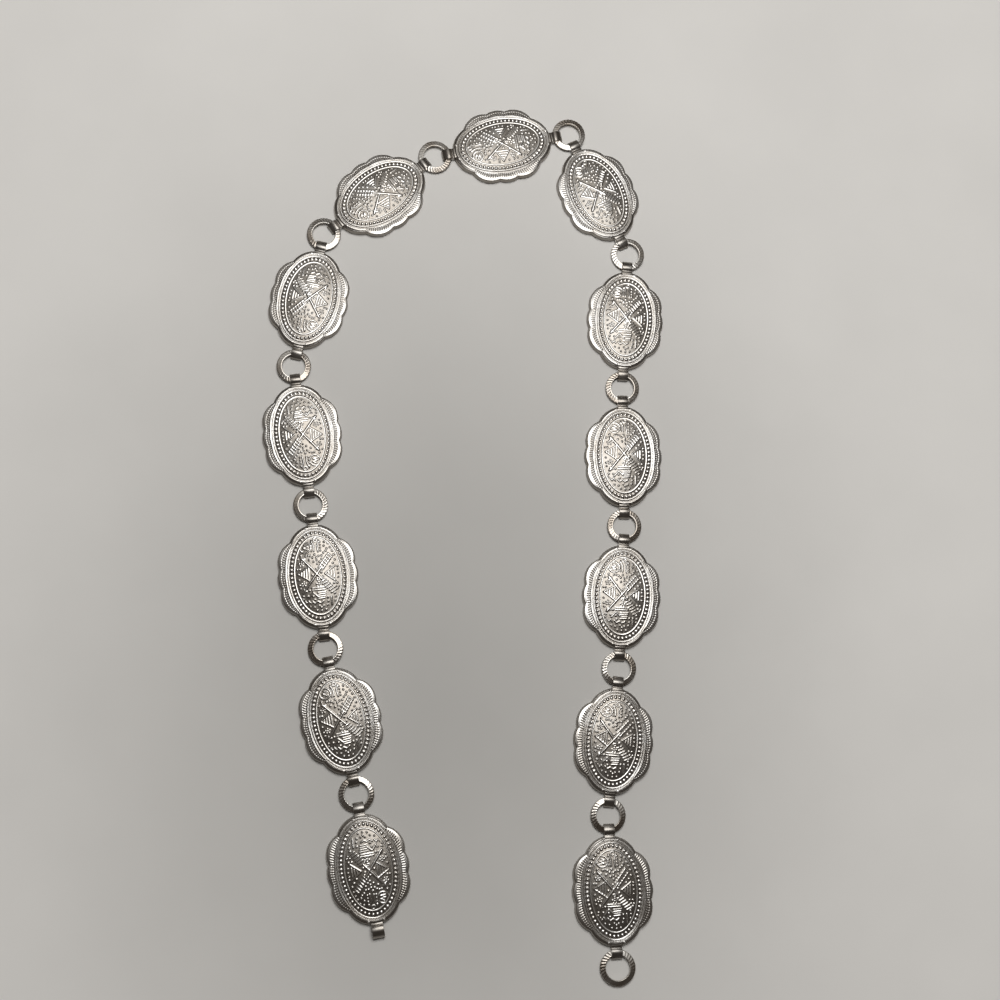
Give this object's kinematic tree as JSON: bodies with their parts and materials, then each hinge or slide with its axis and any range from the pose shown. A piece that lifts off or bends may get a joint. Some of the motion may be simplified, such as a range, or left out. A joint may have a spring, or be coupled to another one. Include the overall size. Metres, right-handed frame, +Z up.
{
  "type": "concho belt",
  "caption": "Metal concho belt of stamped oval plates with lobed rims, joined by flat rings, with a hook at one end and a ring at the other.",
  "frame": {"origin": "on the surface that the belt lies on, under the middle of its box", "axes": "+Z up out of the plates' faces, +Y from the two free ends to the top of the arch, +X to the right strand"},
  "size_m": [0.1938, 0.423, 0.0061],
  "materials": {
    "plate_metal": "polished silver-tone plate, darkened in the stamped lines",
    "ring_metal": "silver-tone plate, lightly worn"
  },
  "bodies": {
    "root": {"concho_01": "plate_metal", "ring_01": "ring_metal", "concho_02": "plate_metal", "ring_02": "ring_metal", "concho_03": "plate_metal", "ring_03": "ring_metal", "concho_04": "plate_metal", "ring_04": "ring_metal", "concho_05": "plate_metal", "ring_05": "ring_metal", "concho_06": "plate_metal", "ring_06": "ring_metal", "concho_07": "plate_metal", "ring_07": "ring_metal", "concho_08": "plate_metal", "ring_08": "ring_metal", "concho_09": "plate_metal", "ring_09": "ring_metal", "concho_10": "plate_metal", "ring_10": "ring_metal", "concho_11": "plate_metal", "ring_11": "ring_metal", "concho_12": "plate_metal", "ring_12": "ring_metal", "concho_13": "plate_metal", "ring_13": "ring_metal"}
  },
  "joints": []
}
